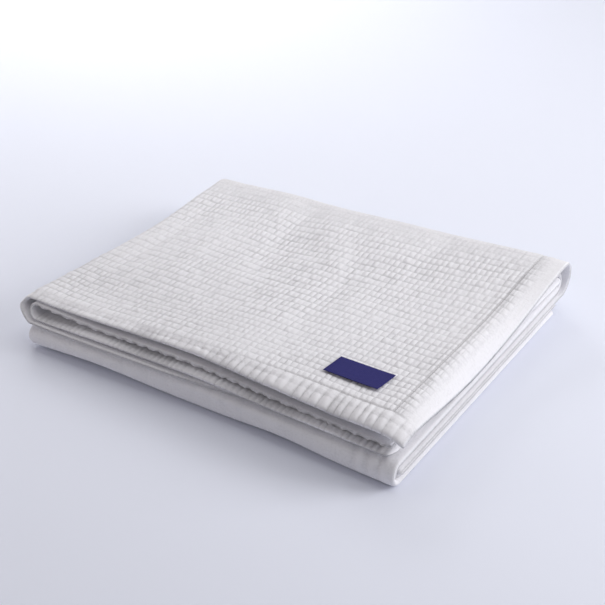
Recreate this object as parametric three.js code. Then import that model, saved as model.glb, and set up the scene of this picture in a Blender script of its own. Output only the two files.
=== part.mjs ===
import * as THREE from 'three';

// Folded matelasse blanket with a small woven label, in millimetres.
// +X runs along the front, +Y to the back and +Z up, and the stack rests on z = 0.
// One sheet is folded in four across its width and then in three along its length.
// The hems lie at the front and right of the top panel, the long turns at the back and low front.

// Driving dimensions
const FOLDED_WIDTH = 439;
const FOLDED_DEPTH = 350;
const CLOTH = 2.4;
const PACKED_PITCH = 3.75;
const ROW_PITCH = 10.2;
const ROW_RISE = 1.3;
const ROW_GROOVE = 3.4;
const HEM_WIDTH = 26;
const HEM_RIB_PITCH = 9.6;
const HEM_RIB_RISE = 1.2;
const STITCH_SINK = 0.6;
const RIGHT_ROLL = 20;
const RIGHT_ROLL_IN = 5;
const RIGHT_ROLL_WIDTH = 30;
const LEFT_TAPER = 39;
const BACK_LEFT_SKEW = 33;
const LOWER_INSET = 16;
const LEFT_PRESS = 0.12;
const TURN_DRAW = 5;
const OPEN_CENTRE_HEIGHT = 46;
const BACK_OPENNESS = 0.5;
const TOP_HEIGHT = 63;

// Label, laid flat and a little skewed inside the front right corner of the hems; the set-back
// there draws its depth in to about 30
const LABEL = { width: 59, depth: 35.5, thickness: 0.9, x: 137.5, y: -111, skew: 2 };
const LABEL_CLEARANCE = 0.4;
const LABEL_FRONT_LIFT = 1.6;

// Layers of the folded width, measured from the middle of the bundle:
// packed in the lower panels, in pitches, and open along the front of the top panel, at its left
// turns, left and right.
// The set-backs are from the front turn to each layer's front hem, at its left and right ends.
// Droop is how far the hem hangs below its layer there, and extra the added thickness of its turning.
const LAYERS = {
  face: { packed: 1.5, open: [11, 11, 14], setBack: [21, 10], droop: [3, 5], extra: 2 },
  second: { packed: 0.5, open: [4.5, -0.5, -6.8], setBack: [18, 15], droop: [1, 1], extra: 0.8 },
  rim: { packed: -0.5, open: [-9.8, -8.7, -12.2], setBack: [10, 8], droop: [0.6, 0.6], extra: 1 },
  back: { packed: -1.5, open: [-14.6, -14.6, -15.4], setBack: [6, 30], droop: [0, 0], extra: 0 },
};

// How far each layer's right end comes out where the right hem doesn't roll over it, so that the
// ends of the lower panels lie in one wall
const RIGHT_SHIFT = { face: -5, second: 9, rim: 7, back: 7 };

// Soft rises and dips of the upper layers
const UNDULATIONS = [
  { x: -150, y: -120, alongX: 70, alongY: 40, rise: -5 },
  { x: 8, y: -80, alongX: 42, alongY: 75, rise: 4 },
  { x: 118, y: 40, alongX: 55, alongY: 80, rise: -4 },
  { x: 196, y: -20, alongX: 22, alongY: 150, rise: 2.5 },
  { x: 20, y: 140, alongX: 75, alongY: 45, rise: 6 },
  { x: 200, y: 165, alongX: 120, alongY: 90, rise: 12 },
  { x: -184, y: 20, alongX: 9, alongY: 120, rise: -2.2 },
  { x: -110, y: 140, alongX: 50, alongY: 60, rise: 5 },
  { x: -72, y: 100, alongX: 8, alongY: 60, rise: -1.6 },
];

// Places where the low front turn stands off the surface
const FRONT_LIFTS = [
  { x: -130, reach: 70, rise: 6 },
  { x: 92, reach: 45, rise: 4 },
];

// Plan of the turns: x of the tips, and how far each turn bulges past its straight legs
const LEFT_TIP = -FOLDED_WIDTH / 2;
const RIGHT_EDGE = FOLDED_WIDTH / 2;
const TURNS = {
  outerLeft: { from: 'face', to: 'back', tip: LEFT_TIP, bulge: 8, direction: -1, faceOut: true },
  right: { from: 'back', to: 'rim', tip: RIGHT_EDGE - 13, bulge: 3, direction: 1, faceOut: true },
  innerLeft: { from: 'rim', to: 'second', tip: LEFT_TIP + 11, bulge: 4, direction: -1, faceOut: false },
};
const SECOND_EDGE = RIGHT_EDGE - 17;

// Heights of the three panels, and the reach of the two long turns
const BOTTOM_CENTRE = CLOTH / 2 + 1.5 * PACKED_PITCH;
const MIDDLE_CENTRE = BOTTOM_CENTRE + 4 * PACKED_PITCH;
const BACK_CENTRE = MIDDLE_CENTRE + 4 * PACKED_PITCH;
const TURN_REACH = 2 * PACKED_PITCH + 1.5 * PACKED_PITCH + CLOTH / 2;
const FRONT = -FOLDED_DEPTH / 2;
const BACK_TURN_Y = FOLDED_DEPTH / 2 - TURN_REACH;
const FRONT_TURN_Y = FRONT + TURN_REACH;
const BOTTOM_END_Y = FOLDED_DEPTH / 2 - 22;

// Lines across the turned hem, as shares of its width from the edge to the stitches
const HEM_SHARES = [0, 0.18, 0.45, 0.8, 1];
const RIGHT_HEM_SHARES = [0, 0.15, 0.35, 0.62];

// Mesh steps away from the raised face
const FACE_STEPS = 14;
const LEG_STEPS = 6;
const TOP_STEPS = 8;
const LOWER_STEPS = 3;
const TURN_STEPS = 8;
const SMALL_TURN_STEPS = 4;

const { lerp, smoothstep } = THREE.MathUtils;

// How far a place is towards the right end of the open front
function rightnessAt(x) {
  return smoothstep(x, -60, 210);
}

function layerLevel(layer, x, openness) {
  const [tip, left, right] = LAYERS[layer].open;
  const leftLevel = lerp(tip, left, smoothstep(x, LEFT_TIP + 15, LEFT_TIP + 115));
  const openLevel = lerp(leftLevel, right, rightnessAt(x));
  return lerp(LAYERS[layer].packed * PACKED_PITCH, openLevel, openness);
}

// A place on a straight leg of the folded width; faceUp says which way the cloth's face looks
function legStation(layer, x, faceUp) {
  return { kind: 'leg', layer, x, faceUp, fraction: 0 };
}

// A place on one of the turns of the folded width, from 0 at its start to 1 at its end
function turnStation(name, fraction) {
  return { kind: 'turn', turn: TURNS[name], fraction };
}

// Section of the folded width: x, height in the bundle, and the direction that the face looks
function acrossPoint(station, openness) {
  if (station.kind === 'leg') {
    const level = layerLevel(station.layer, station.x, openness);
    return { x: station.x, h: level, nx: 0, nh: station.faceUp ? 1 : -1 };
  }
  const { from, to, tip, bulge, direction, faceOut } = station.turn;
  const angle = Math.PI * station.fraction;
  const start = layerLevel(from, tip, openness);
  const end = layerLevel(to, tip, openness);
  const middle = (start + end) / 2;
  const outH = Math.sign(start - end) * Math.cos(angle);
  const outX = direction * Math.sin(angle);
  const side = faceOut ? 1 : -1;
  return {
    x: tip - direction * bulge * (1 - Math.sin(angle)),
    h: middle + (Math.abs(start - end) / 2) * outH,
    nx: side * outX,
    nh: side * outH,
  };
}

// Section along the length: place, the direction of the bundle's upper side, how open it is, and
// how far it is clear of the rolled hem and tucked under the top panel
function topStation(y) {
  const travel = (y - FRONT) / (BACK_TURN_Y - FRONT);
  const openness = 1 - (1 - BACK_OPENNESS) * smoothstep(travel, -0.35, 1.05);
  const z = lerp(BACK_CENTRE, OPEN_CENTRE_HEIGHT, openness);
  const clear = smoothstep(y, 0.1 * BACK_TURN_Y, BACK_TURN_Y);
  return { y, z, ny: 0, nz: 1, openness, clear, tucked: 0, isTop: true, fromHem: y - FRONT };
}

function backTurnStation(fraction) {
  const angle = Math.PI * fraction;
  const start = topStation(BACK_TURN_Y);
  const middle = (start.z + MIDDLE_CENTRE) / 2;
  const radius = (start.z - MIDDLE_CENTRE) / 2;
  return {
    y: BACK_TURN_Y + radius * Math.sin(angle),
    z: middle + radius * Math.cos(angle),
    ny: Math.sin(angle),
    nz: Math.cos(angle),
    openness: start.openness * (1 - fraction),
    clear: 1,
    tucked: fraction,
  };
}

function middleStation(y) {
  return { y, z: MIDDLE_CENTRE, ny: 0, nz: -1, openness: 0, clear: 1, tucked: 1 };
}

function frontTurnStation(fraction) {
  const angle = Math.PI * fraction;
  const radius = (MIDDLE_CENTRE - BOTTOM_CENTRE) / 2;
  return {
    y: FRONT_TURN_Y - radius * Math.sin(angle),
    z: (MIDDLE_CENTRE + BOTTOM_CENTRE) / 2 + radius * Math.cos(angle),
    ny: Math.sin(angle),
    nz: -Math.cos(angle),
    openness: 0,
    clear: 1,
    tucked: 1,
  };
}

function bottomStation(y) {
  return { y, z: BOTTOM_CENTRE, ny: 0, nz: 1, openness: 0, clear: 1, tucked: 1 };
}

// Value of a layer's hem setting at a station, blended around the turns
function hemSetting(station, x, settingOf) {
  const rightness = rightnessAt(x);
  if (station.kind === 'leg') return settingOf(LAYERS[station.layer], rightness);
  const start = settingOf(LAYERS[station.turn.from], rightness);
  const end = settingOf(LAYERS[station.turn.to], rightness);
  return lerp(start, end, smoothstep(station.fraction, 0, 1));
}

// Shift of a layer near its right end
function rightShift(station, x, along) {
  const layer = station.kind === 'leg' ? station.layer : station.turn.from;
  const share = layer === 'face' ? along.tucked : along.clear;
  return RIGHT_SHIFT[layer] * share * smoothstep(x, RIGHT_EDGE - 90, RIGHT_EDGE - 16);
}

// Unevenness of the stack: it narrows at the left towards the back, its lower panels are drawn in
// there, the low front turn lifts off the surface in places, and the top rolls softly
function settle(point) {
  const travel = (point.y - FRONT) / FOLDED_DEPTH;
  const leftness = (RIGHT_EDGE - point.x) / FOLDED_WIDTH;
  const upper = (point.z / TOP_HEIGHT) ** 2;
  const taper = LEFT_TAPER * smoothstep(travel, -0.15, 0.7);
  const inset = LOWER_INSET * (1 - smoothstep(point.z, MIDDLE_CENTRE, OPEN_CENTRE_HEIGHT));
  let rise = 0;
  for (const dip of UNDULATIONS) {
    const awayX = (point.x - dip.x) / dip.alongX;
    const awayY = (point.y - dip.y) / dip.alongY;
    rise += dip.rise * Math.exp(-awayX * awayX - awayY * awayY);
  }
  const press = LEFT_PRESS * smoothstep(leftness, 0.5, 1) * (1 - smoothstep(travel, 0, 0.7));
  const turned = 1 - smoothstep(point.y, FRONT, FRONT_TURN_Y + 2 * TURN_REACH);
  const drawn = turned * Math.exp(-(((point.x - 20) / 130) ** 2));
  const low = Math.max(0, 1 - point.z / (2 * TURN_REACH));
  let lift = 0;
  for (const { x, reach, rise: lifted } of FRONT_LIFTS) {
    lift += lifted * turned * low * Math.exp(-(((point.x - x) / reach) ** 2));
  }
  point.x += (taper + inset) * leftness * leftness;
  point.y += TURN_DRAW * drawn * smoothstep(low, 0, 0.4);
  point.y -= BACK_LEFT_SKEW * leftness * smoothstep(travel, 0, 1);
  point.z = point.z * (1 - press) + rise * upper + lift;
  return point;
}

// A point of the cloth: lift is the distance from its middle surface towards its face.
// On the top panel the front hems are set back and droop, and the face's right hem rolls down.
function clothPoint(acrossStation, along, lift) {
  const across = acrossPoint(acrossStation, along.openness);
  const point = new THREE.Vector3(
    across.x + across.nx * lift + rightShift(acrossStation, across.x, along),
    along.y + along.ny * (across.h + across.nh * lift),
    along.z + along.nz * (across.h + across.nh * lift),
  );
  if (along.isTop) {
    const between = (name) => (hem, rightness) => lerp(hem[name][0], hem[name][1], rightness);
    const setBack = hemSetting(acrossStation, across.x, between('setBack'));
    const droop = hemSetting(acrossStation, across.x, between('droop'));
    const nearHem = Math.max(0, 1 - along.fromHem / HEM_WIDTH);
    const isFace = acrossStation.layer === 'face';
    const nearRight = isFace ? Math.max(0, 1 - (RIGHT_EDGE - across.x) / RIGHT_ROLL_WIDTH) : 0;
    const rollIn = lerp(0.3, 1, smoothstep(along.fromHem, -10, 150));
    const rollOut = 1 - smoothstep(along.y, -0.2 * BACK_TURN_Y, BACK_TURN_Y);
    const roll = rollIn * rollOut * nearRight;
    const tilt = Math.atan((2 * RIGHT_ROLL * roll) / RIGHT_ROLL_WIDTH);
    point.y += setBack * (1 - smoothstep(along.fromHem, 0, 110));
    point.x += lift * Math.sin(tilt) - RIGHT_ROLL_IN * roll * nearRight;
    point.z -= lift * (1 - Math.cos(tilt)) + RIGHT_ROLL * roll * nearRight;
    point.z -= droop * nearHem * nearHem;
  }
  return settle(point);
}

// Half thickness of the cloth, thicker where its hem is turned along the front of the top panel
function halfCloth(acrossStation, along) {
  if (!along.isTop) return CLOTH / 2;
  const extra = hemSetting(acrossStation, 0, (hem) => hem.extra);
  return (CLOTH + extra * (1 - smoothstep(along.fromHem, 0.5 * HEM_WIDTH, HEM_WIDTH))) / 2;
}

function stepsBetween(start, end, count) {
  return Array.from({ length: count + 1 }, (unused, i) => lerp(start, end, i / count));
}

function insideSteps(count) {
  return stepsBetween(0, 1, count).slice(1, -1);
}

// Stations of the whole width, from the face layer's right hem to the second layer's right hem
function widthStations() {
  const { outerLeft, right, innerLeft } = TURNS;
  const outerX = outerLeft.tip + outerLeft.bulge;
  const rightX = right.tip - right.bulge;
  const innerX = innerLeft.tip + innerLeft.bulge;
  const leg = (layer, start, end, faceUp) =>
    stepsBetween(start, end, LEG_STEPS).map((x) => legStation(layer, x, faceUp));
  return [
    ...RIGHT_HEM_SHARES.map((share) => legStation('face', RIGHT_EDGE - share * HEM_WIDTH, true)),
    ...leg('face', RIGHT_EDGE - HEM_WIDTH, outerX, true),
    ...insideSteps(TURN_STEPS).map((f) => turnStation('outerLeft', f)),
    ...leg('back', outerX, rightX, false),
    ...insideSteps(SMALL_TURN_STEPS).map((f) => turnStation('right', f)),
    ...leg('rim', rightX, innerX, true),
    ...insideSteps(TURN_STEPS).map((f) => turnStation('innerLeft', f)),
    ...leg('second', innerX, SECOND_EDGE, false),
  ];
}

// Stations of the whole length, from the front hem to the hem tucked under at the back
function lengthStations() {
  return [
    ...HEM_SHARES.map((share) => topStation(FRONT + share * HEM_WIDTH)),
    ...stepsBetween(FRONT + HEM_WIDTH, BACK_TURN_Y, TOP_STEPS).slice(1).map(topStation),
    ...insideSteps(TURN_STEPS).map(backTurnStation),
    ...stepsBetween(BACK_TURN_Y, FRONT_TURN_Y, LOWER_STEPS).map(middleStation),
    ...insideSteps(TURN_STEPS).map(frontTurnStation),
    ...stepsBetween(FRONT_TURN_Y, BOTTOM_END_Y, LOWER_STEPS).map(bottomStation),
  ];
}

// Closed mesh under construction; a line of it is a list of points with their distance along it
class SheetMesh {
  constructor() {
    this.positions = [];
    this.triangles = [];
  }

  add(point) {
    this.positions.push(point.x, point.y, point.z);
    return this.positions.length / 3 - 1;
  }

  quad(a, b, c, d) {
    this.triangles.push(a, b, c, a, c, d);
  }

  // Strip between two lines whose points may be spaced differently
  bridge(left, right) {
    let i = 0;
    let j = 0;
    while (i < left.length - 1 || j < right.length - 1) {
      const leftDone = i === left.length - 1;
      const rightDone = j === right.length - 1;
      const leftMiddle = leftDone ? Infinity : left[i].at + left[i + 1].at;
      const rightMiddle = rightDone ? Infinity : right[j].at + right[j + 1].at;
      if (leftMiddle <= rightMiddle) {
        this.triangles.push(left[i].index, left[i + 1].index, right[j].index);
        i += 1;
      } else {
        this.triangles.push(left[i].index, right[j + 1].index, right[j].index);
        j += 1;
      }
    }
  }

  geometry() {
    const geometry = new THREE.BufferGeometry();
    geometry.setAttribute('position', new THREE.Float32BufferAttribute(this.positions, 3));
    geometry.setIndex(this.triangles);
    geometry.computeVertexNormals();
    return geometry;
  }
}

// Raised face of the top panel: woven rows, a ribbed front hem and sunk stitch lines.
// It returns its four border lines.
function raisedFace(sheet) {
  const stitchX = RIGHT_EDGE - HEM_WIDTH;
  const leftX = TURNS.outerLeft.tip + TURNS.outerLeft.bulge + 4;
  const backY = BACK_TURN_Y - 4;
  const halfGroove = ROW_GROOVE / 2;
  const columns = [
    ...RIGHT_HEM_SHARES.map((share) => ({ x: RIGHT_EDGE - share * HEM_WIDTH, sink: 0 })),
    { x: stitchX + halfGroove, sink: 0 },
    { x: stitchX, sink: STITCH_SINK + ROW_RISE },
    ...stepsBetween(stitchX - halfGroove, leftX, FACE_STEPS).map((x) => ({ x, sink: 0 })),
  ];
  const rows = [{ y: FRONT + HEM_WIDTH, rise: -STITCH_SINK }];
  for (let y = FRONT + HEM_WIDTH; y + ROW_PITCH < backY; y += ROW_PITCH) {
    rows.push({ y: y + halfGroove, rise: ROW_RISE });
    rows.push({ y: y + ROW_PITCH - halfGroove, rise: ROW_RISE });
    rows.push({ y: y + ROW_PITCH, rise: 0 });
  }
  const place = (x, y, rise) => {
    const across = legStation('face', x, true);
    const along = topStation(y);
    return { index: sheet.add(clothPoint(across, along, halfCloth(across, along) + rise)), x, y };
  };
  const riseAt = (row, column) => Math.max(row.rise - column.sink, -STITCH_SINK);
  const woven = rows.map((row) => columns.map((column) => place(column.x, row.y, riseAt(row, column))));
  for (let j = 0; j < rows.length - 1; j += 1) {
    for (let i = 0; i < columns.length - 1; i += 1) {
      sheet.quad(woven[j][i].index, woven[j + 1][i].index, woven[j + 1][i + 1].index, woven[j][i + 1].index);
    }
  }

  // Front hem: short ribs from the stitch line over the edge
  const ribCount = 2 * Math.round((RIGHT_EDGE - leftX) / HEM_RIB_PITCH);
  const ribX = stepsBetween(RIGHT_EDGE, leftX, ribCount);
  const hem = HEM_SHARES.slice(0, -1).map((share) => {
    const rise = HEM_RIB_RISE * smoothstep(share, -0.4, 0.4);
    return ribX.map((x, i) => place(x, FRONT + share * HEM_WIDTH, i % 2 ? rise : -rise / 3));
  });
  for (let j = 0; j < hem.length - 1; j += 1) {
    for (let i = 0; i < ribCount; i += 1) {
      sheet.quad(hem[j][i].index, hem[j + 1][i].index, hem[j + 1][i + 1].index, hem[j][i + 1].index);
    }
  }
  const alongX = (line) => line.map(({ index, x }) => ({ index, at: RIGHT_EDGE - x }));
  const alongY = (line) => line.map(({ index, y }) => ({ index, at: y - FRONT }));
  sheet.bridge(alongX(woven[0]), alongX(hem[hem.length - 1]));
  return {
    front: alongX(hem[0]),
    back: alongX(woven[woven.length - 1]),
    right: alongY([...hem, ...woven].map((line) => line[0])),
    left: alongY([...hem, ...woven].map((line) => line[line.length - 1])),
  };
}

// One sheet: a face side with the raised patch, an underside, and rounded edges all round
function blanketGeometry() {
  const sheet = new SheetMesh();
  const width = widthStations();
  const length = lengthStations();
  const faceEnd = RIGHT_HEM_SHARES.length + LEG_STEPS;
  const topEnd = HEM_SHARES.length - 1 + TOP_STEPS;
  const lastI = width.length - 1;
  const lastJ = length.length - 1;
  const outsidePatch = (i, j) => i >= faceEnd || j >= topEnd;
  const sidePoint = (sign, across, along) =>
    sheet.add(clothPoint(across, along, sign * halfCloth(across, along)));
  const face = width.map((across, i) =>
    length.map((along, j) => (outsidePatch(i, j) ? sidePoint(1, across, along) : null)),
  );
  const under = width.map((across) => length.map((along) => sidePoint(-1, across, along)));
  for (let i = 0; i < lastI; i += 1) {
    for (let j = 0; j < lastJ; j += 1) {
      sheet.quad(under[i][j], under[i + 1][j], under[i + 1][j + 1], under[i][j + 1]);
      if (outsidePatch(i, j)) sheet.quad(face[i][j], face[i][j + 1], face[i + 1][j + 1], face[i + 1][j]);
    }
  }

  // Distances along the borders: true beside the raised patch, then one even step per station
  const widthAt = (i) => RIGHT_EDGE - width[Math.min(i, faceEnd)].x + Math.max(0, i - faceEnd);
  const lengthAt = (j) => length[Math.min(j, topEnd)].y - FRONT + Math.max(0, j - topEnd);
  const widthLine = (from, to, indexAt) =>
    width.slice(from, to + 1).map((unused, k) => ({ index: indexAt(from + k), at: widthAt(from + k) }));
  const lengthLine = (from, to, indexAt) =>
    length.slice(from, to + 1).map((unused, k) => ({ index: indexAt(from + k), at: lengthAt(from + k) }));

  const patch = raisedFace(sheet);
  sheet.bridge(patch.left, lengthLine(0, topEnd, (j) => face[faceEnd][j]));
  sheet.bridge(widthLine(0, faceEnd, (i) => face[i][topEnd]), patch.back);

  // Rounded edges: a ring of points half a thickness outside the border closes the two sides
  const ring = new Map();
  const ringPoint = (i, j) => {
    const key = `${i} ${j}`;
    if (!ring.has(key)) {
      const past = CLOTH / 2;
      const across = { ...width[i] };
      const along = { ...length[j] };
      if (i === 0 || i === lastI) across.x += past;
      if (j === lastJ) along.y += past;
      ring.set(key, sheet.add(clothPoint(across, j === 0 ? topStation(FRONT - past) : along, 0)));
    }
    return ring.get(key);
  };
  const frontFace = [...patch.front, ...widthLine(faceEnd, lastI, (i) => face[i][0])];
  const rightFace = [...patch.right, ...lengthLine(topEnd, lastJ, (j) => face[0][j])];
  const endFace = widthLine(0, lastI, (i) => face[i][lastJ]);
  const secondFace = lengthLine(0, lastJ, (j) => face[lastI][j]);
  const frontRing = widthLine(0, lastI, (i) => ringPoint(i, 0));
  const rightRing = lengthLine(0, lastJ, (j) => ringPoint(0, j));
  const endRing = widthLine(0, lastI, (i) => ringPoint(i, lastJ));
  const secondRing = lengthLine(0, lastJ, (j) => ringPoint(lastI, j));
  sheet.bridge(frontFace, frontRing);
  sheet.bridge(frontRing, widthLine(0, lastI, (i) => under[i][0]));
  sheet.bridge(rightRing, rightFace);
  sheet.bridge(lengthLine(0, lastJ, (j) => under[0][j]), rightRing);
  sheet.bridge(endRing, endFace);
  sheet.bridge(widthLine(0, lastI, (i) => under[i][lastJ]), endRing);
  sheet.bridge(secondFace, secondRing);
  sheet.bridge(secondRing, lengthLine(0, lastJ, (j) => under[lastI][j]));
  return sheet.geometry();
}

// Label: a thin strip that follows the cloth's rolls just above its rows
function labelGeometry() {
  const sheet = new SheetMesh();
  const columns = stepsBetween(LABEL.x + LABEL.width / 2, LABEL.x - LABEL.width / 2, 8);
  const rows = stepsBetween(LABEL.y - LABEL.depth / 2, LABEL.y + LABEL.depth / 2, 4);
  const base = CLOTH / 2 + ROW_RISE + LABEL_CLEARANCE;
  const side = (height) =>
    columns.map((x) =>
      rows.map((y, j) => {
        const share = j / (rows.length - 1);
        const lift = base + LABEL_FRONT_LIFT * (1 - share) ** 2 + height;
        const across = legStation('face', x + LABEL.skew * share, true);
        return sheet.add(clothPoint(across, topStation(y), lift));
      }),
    );
  const upper = side(LABEL.thickness);
  const lower = side(0);
  const lastI = columns.length - 1;
  const lastJ = rows.length - 1;
  for (let i = 0; i < lastI; i += 1) {
    for (let j = 0; j < lastJ; j += 1) {
      sheet.quad(upper[i][j], upper[i][j + 1], upper[i + 1][j + 1], upper[i + 1][j]);
      sheet.quad(lower[i][j], lower[i + 1][j], lower[i + 1][j + 1], lower[i][j + 1]);
    }
    sheet.quad(upper[i][0], upper[i + 1][0], lower[i + 1][0], lower[i][0]);
    sheet.quad(upper[i][lastJ], lower[i][lastJ], lower[i + 1][lastJ], upper[i + 1][lastJ]);
  }
  for (let j = 0; j < lastJ; j += 1) {
    sheet.quad(upper[0][j], lower[0][j], lower[0][j + 1], upper[0][j + 1]);
    sheet.quad(upper[lastI][j], upper[lastI][j + 1], lower[lastI][j + 1], lower[lastI][j]);
  }
  return sheet.geometry();
}

const blanket = new THREE.Mesh(
  blanketGeometry(),
  new THREE.MeshStandardMaterial({ color: 0xf1f0f2, roughness: 0.95, metalness: 0 }),
);
blanket.name = 'blanket';

const label = new THREE.Mesh(
  labelGeometry(),
  new THREE.MeshStandardMaterial({ color: 0x14164a, roughness: 0.75, metalness: 0 }),
);
label.name = 'label';

const foldedBlanket = new THREE.Group();
foldedBlanket.add(blanket, label);

// The frame's origin is under the middle of the stack
const middle = new THREE.Box3().setFromObject(foldedBlanket).getCenter(new THREE.Vector3());
for (const piece of foldedBlanket.children) {
  piece.geometry.translate(-middle.x, -middle.y, 0);
}

export default foldedBlanket;
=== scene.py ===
import math
import bpy
import numpy as np
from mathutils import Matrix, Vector


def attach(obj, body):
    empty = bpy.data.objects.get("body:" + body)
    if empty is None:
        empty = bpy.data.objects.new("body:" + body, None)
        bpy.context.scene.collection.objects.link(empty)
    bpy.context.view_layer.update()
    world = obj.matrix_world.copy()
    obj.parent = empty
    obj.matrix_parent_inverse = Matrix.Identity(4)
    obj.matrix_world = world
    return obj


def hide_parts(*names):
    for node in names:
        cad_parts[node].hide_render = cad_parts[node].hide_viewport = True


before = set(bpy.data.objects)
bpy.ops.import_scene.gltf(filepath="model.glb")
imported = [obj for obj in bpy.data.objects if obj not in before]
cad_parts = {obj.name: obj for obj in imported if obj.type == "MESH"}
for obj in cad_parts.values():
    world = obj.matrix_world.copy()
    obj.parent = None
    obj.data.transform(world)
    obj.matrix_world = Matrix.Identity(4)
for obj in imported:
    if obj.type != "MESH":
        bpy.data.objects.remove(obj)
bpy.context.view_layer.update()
scene = bpy.context.scene
mm = 0.001


def smooth(value, low, high):
    share = np.clip((value - low) / (high - low), 0, 1)
    return share * share * (3 - 2 * share)


def blend(start, end, share):
    return start + (end - start) * share


# Blanket: one sheet, folded in four across and in three along, in millimetres
fold = {
    "width": 439, "depth": 350, "cloth": 2.4, "pitch": 3.75, "hem": 26,
    "rightRoll": 20, "rollIn": 5, "rollWidth": 30, "leftTaper": 39, "backLeftSkew": 33,
    "lowerInset": 16, "leftPress": 0.12, "turnDraw": 5, "drawAt": 20, "drawReach": 130,
    "openHeight": 46, "backOpenness": 0.5,
    "topHeight": 63, "centre": (2.6912, 2.2129), "rightSide": (-60, 210), "hemReach": 110,
}
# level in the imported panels, open levels at the left turns, left and right of the front,
# then set-back and droop of the front hem at left and right, and its added thickness
layers = {
    "face": {"packed": 1.5, "open": (11, 11, 14),
             "setBack": (21, 10), "droop": (3, 5), "extra": (0.8, 2)},
    "second": {"packed": 0.5, "open": (4.5, -0.5, -6.8),
               "setBack": (18, 15), "droop": (1, 1), "extra": (0.8, 0.8)},
    "rim": {"packed": -0.5, "open": (-9.8, -8.7, -12.2),
            "setBack": (10, 8), "droop": (0.6, 0.6), "extra": (1, 1)},
    "back": {"packed": -1.5, "open": (-14.6, -14.6, -15.4),
             "setBack": (6, 30), "droop": (0, 0), "extra": (0, 0)},
}
# how far the right ends come out where the right hem doesn't roll over them
rightShift = {"face": -5, "second": 9, "rim": 7, "back": 7}
# x, y, reach along x, reach along y, rise
undulations = [
    (-150, -120, 70, 40, -5), (8, -80, 42, 75, 4), (118, 40, 55, 80, -4), (196, -20, 22, 150, 2.5),
    (20, 140, 75, 45, 6), (200, 165, 120, 90, 12), (-184, 20, 9, 120, -2.2),
    (-110, 140, 50, 60, 5), (-72, 100, 8, 60, -1.6),
]
# where the low front turn stands off the floor: x, reach, rise
frontLifts = [(-130, 70, 6), (92, 45, 4)]

rightEdge = fold["width"] / 2
leftTip = -rightEdge
pitch = fold["pitch"]
front = -fold["depth"] / 2
bottomCentre = fold["cloth"] / 2 + 1.5 * pitch
middleCentre = bottomCentre + 4 * pitch
backCentre = middleCentre + 4 * pitch
turnReach = 3.5 * pitch + fold["cloth"] / 2
backTurnY = fold["depth"] / 2 - turnReach
frontTurnY = front + turnReach
bottomEndY = fold["depth"] / 2 - 22
outerEnd, innerEnd, rightEnd = leftTip + 8, leftTip + 15, rightEdge - 16  # where the turns begin
turns = {
    "outerLeft": {"from": "face", "to": "back", "tip": leftTip, "bulge": 8, "way": -1, "out": 1},
    "right": {"from": "back", "to": "rim", "tip": rightEdge - 13, "bulge": 3, "way": 1, "out": 1},
    "innerLeft": {"from": "rim", "to": "second", "tip": leftTip + 11, "bulge": 4, "way": -1, "out": -1},
}


# The sheet's own places: u across from the face's right hem, v along from the front hem
def placed(spans):
    start = 0
    for span in spans:
        span["start"] = start
        start += span["length"]
    return spans, start


def leg(layer, fromX, toX, up):
    return {"leg": layer, "fromX": fromX, "toX": toX, "up": up, "length": abs(toX - fromX)}


acrossSpans, wholeWidth = placed([
    leg("face", rightEdge, outerEnd, 1),
    {"turn": "outerLeft", "length": 34},
    leg("back", outerEnd, rightEnd, -1),
    {"turn": "right", "length": 8},
    leg("rim", rightEnd, innerEnd, 1),
    {"turn": "innerLeft", "length": 16},
    leg("second", innerEnd, rightEdge - 17, -1),
])
alongSpans, wholeLength = placed([
    {"panel": "top", "length": backTurnY - front},
    {"panel": "backTurn", "length": 55},
    {"panel": "middle", "length": backTurnY - frontTurnY},
    {"panel": "frontTurn", "length": 45},
    {"panel": "bottom", "length": bottomEndY - frontTurnY},
])


def spansAt(spans, at):
    starts = [span["start"] for span in spans]
    index = np.clip(np.searchsorted(starts, at, "right") - 1, 0, len(spans) - 1)
    for k, span in enumerate(spans):
        here = index == k
        if here.any():
            yield span, here, (at[here] - span["start"]) / span["length"]


def rightnessAt(x):
    return smooth(x, *fold["rightSide"])


def layerLevel(layer, x, openness):
    tip, left, right = layers[layer]["open"]
    leftLevel = blend(tip, left, smooth(x, innerEnd, leftTip + 115))
    return blend(layers[layer]["packed"] * pitch, blend(leftLevel, right, rightnessAt(x)), openness)


def hemValue(layer, key, x):
    left, right = layers[layer][key]
    return blend(left, right, rightnessAt(x))


def acrossAt(u, openness):
    keys = ("x", "h", "nx", "nh", "setBack", "droop", "extra", "nearRight", "shift", "isFace")
    found = {key: np.zeros(u.shape) for key in keys}
    for span, here, share in spansAt(acrossSpans, u):
        if "leg" in span:
            x = blend(span["fromX"], span["toX"], share)
            found["h"][here] = layerLevel(span["leg"], x, openness[here])
            found["nh"][here] = span["up"]
            for key in ("setBack", "droop", "extra"):
                found[key][here] = hemValue(span["leg"], key, x)
            layer = span["leg"]
            if layer == "face":
                found["nearRight"][here] = np.maximum(0, 1 - (rightEdge - x) / fold["rollWidth"])
                found["isFace"][here] = 1
        else:
            turn = turns[span["turn"]]
            angle = np.pi * share
            start = layerLevel(turn["from"], turn["tip"], openness[here])
            end = layerLevel(turn["to"], turn["tip"], openness[here])
            outH = np.sign(start - end) * np.cos(angle)
            x = turn["tip"] - turn["way"] * turn["bulge"] * (1 - np.sin(angle))
            found["h"][here] = (start + end) / 2 + np.abs(start - end) / 2 * outH
            found["nx"][here] = turn["out"] * turn["way"] * np.sin(angle)
            found["nh"][here] = turn["out"] * outH
            for key in ("setBack", "droop", "extra"):
                ends = (hemValue(turn["from"], key, x), hemValue(turn["to"], key, x))
                found[key][here] = blend(*ends, smooth(share, 0, 1))
            layer = turn["from"]
        found["x"][here] = x
        found["shift"][here] = rightShift[layer] * smooth(x, rightEdge - 90, rightEnd)
    return found


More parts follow.
